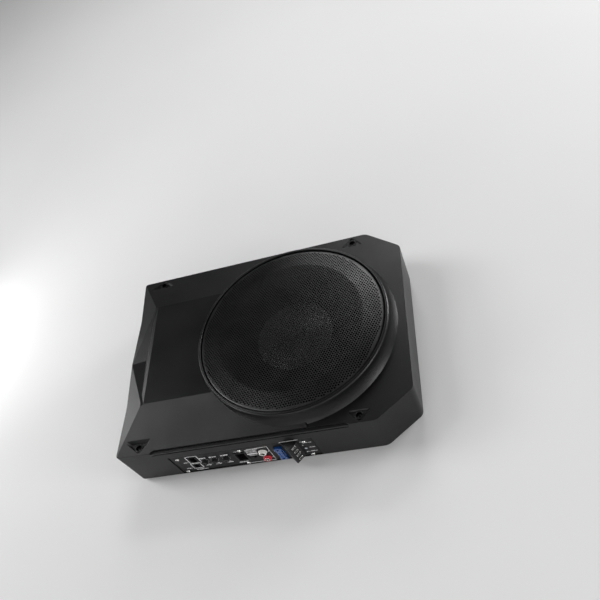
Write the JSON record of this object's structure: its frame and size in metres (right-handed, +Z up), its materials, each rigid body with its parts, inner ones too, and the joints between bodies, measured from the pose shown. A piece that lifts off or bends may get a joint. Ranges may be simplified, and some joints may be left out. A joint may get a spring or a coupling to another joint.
{
  "type": "powered car subwoofer",
  "caption": "Slim powered subwoofer for under a car seat: black moulded case, round steel grille over a shallow woofer, and a side control panel with sockets, dials, fuse and power plug.",
  "frame": {"origin": "middle of the base tray's underside; the rubber feet reach 2.5 mm below it", "axes": "+X towards the loudspeaker end, +Y towards the back, +Z up; the control panel faces -Y"},
  "size_m": [0.3448, 0.2679, 0.0848],
  "materials": {
    "cover_plastic": "fine textured satin black ABS",
    "tray_plastic": "textured black",
    "grille_steel": "perforated steel, satin black paint",
    "foam": "closed-cell foam",
    "basket_steel": "black stove enamel",
    "rubber": "moulded butyl",
    "cone_paper": "pressed pulp, dyed black",
    "dust_cap_plastic": "satin black",
    "coil_copper": "enamelled wire on an aluminium former",
    "spider_cloth": "resin-dipped cotton",
    "plate_steel": "zinc plated",
    "ferrite": "ground ferrite",
    "panel_metal": "matt black with white printed marks",
    "socket_plastic": "moulded black",
    "knob_plastic": "moulded black",
    "pot_case": "moulded blue",
    "switch_metal": "stamped steel",
    "rca_white": "glossy",
    "rca_red": "glossy",
    "fuse_blue": "tinted, half clear",
    "terminal_plastic": "moulded black",
    "led_lens": "frosted",
    "board_green": "solder mask",
    "heat_sink_aluminium": "extruded",
    "winding_copper": "enamelled winding",
    "capacitor_sleeve": "shrink sleeve",
    "foot_rubber": "moulded",
    "screw_black": "black oxide",
    "screw_steel": "bright zinc"
  },
  "bodies": {
    "housing": {"amplifier_board": "board_green", "base_tray": "tray_plastic", "bass_boost_pot": "pot_case", "capacitor_1": "capacitor_sleeve", "capacitor_2": "capacitor_sleeve", "control_panel": "panel_metal", "cover_screw_back_left": "screw_black", "cover_screw_back_right": "screw_black", "cover_screw_front_left": "screw_black", "cover_screw_front_right": "screw_black", "foot_back_left": "foot_rubber", "foot_back_right": "foot_rubber", "foot_front_left": "foot_rubber", "foot_front_right": "foot_rubber", "fuse_holder": "socket_plastic", "gain_pot": "pot_case", "grille": "grille_steel", "grille_gasket": "foam", "heat_sink": "heat_sink_aluminium", "link_port": "socket_plastic", "low_pass_pot": "pot_case", "magnet": "ferrite", "panel_screw_bottom_left": "screw_steel", "panel_screw_bottom_middle": "screw_steel", "panel_screw_bottom_right": "screw_steel", "panel_screw_top_left": "screw_steel", "panel_screw_top_middle": "screw_steel", "panel_screw_top_right": "screw_steel", "phase_switch": "switch_metal", "power_header": "socket_plastic", "rca_block": "socket_plastic", "rca_jack_left": "rca_white", "rca_jack_right": "rca_red", "remote_port": "socket_plastic", "speaker_basket": "basket_steel", "speaker_gasket": "foam", "speaker_input": "socket_plastic", "speaker_screw_1": "screw_black", "speaker_screw_2": "screw_black", "speaker_screw_3": "screw_black", "speaker_screw_4": "screw_black", "spider": "spider_cloth", "status_led": "led_lens", "surround": "rubber", "top_cover": "cover_plastic", "top_plate": "plate_steel", "transformer": "winding_copper", "yoke": "plate_steel"},
    "cone_assembly": {"cone": "cone_paper", "dust_cap": "dust_cap_plastic", "voice_coil": "coil_copper"},
    "gain_dial": {"gain_knob": "knob_plastic"},
    "low_pass_dial": {"low_pass_knob": "knob_plastic"},
    "bass_boost_dial": {"bass_boost_knob": "knob_plastic"},
    "phase_slide": {"phase_slider": "knob_plastic"},
    "fuse": {"blade_fuse": "fuse_blue"},
    "power_connector": {"power_plug": "terminal_plastic"}
  },
  "joints": [
    {"name": "cone_travel", "type": "slide", "parent": "housing", "child": "cone_assembly", "axis": [0, 0, 1], "range_m": [-0.005, 0.005], "stiffness_N_per_m": 5000, "deforming": ["surround", "spider"]},
    {"name": "gain_turn", "type": "hinge", "parent": "housing", "child": "gain_dial", "pos_m": [-0.0774, -0.1283, 0.0255], "axis": [0, 1, 0], "range_deg": [-140, 140]},
    {"name": "low_pass_turn", "type": "hinge", "parent": "housing", "child": "low_pass_dial", "pos_m": [-0.0649, -0.1283, 0.0255], "axis": [0, 1, 0], "range_deg": [-140, 140]},
    {"name": "bass_boost_turn", "type": "hinge", "parent": "housing", "child": "bass_boost_dial", "pos_m": [-0.0505, -0.1283, 0.0255], "axis": [0, 1, 0], "range_deg": [-140, 140]},
    {"name": "phase_select", "type": "slide", "parent": "housing", "child": "phase_slide", "axis": [1, 0, 0], "range_m": [0, 0.0032]},
    {"name": "fuse_pull", "type": "slide", "parent": "housing", "child": "fuse", "axis": [0, -1, 0], "range_m": [0, 0.03]},
    {"name": "power_plug_pull", "type": "slide", "parent": "housing", "child": "power_connector", "axis": [0, -1, 0], "range_m": [0, 0.02]}
  ]
}
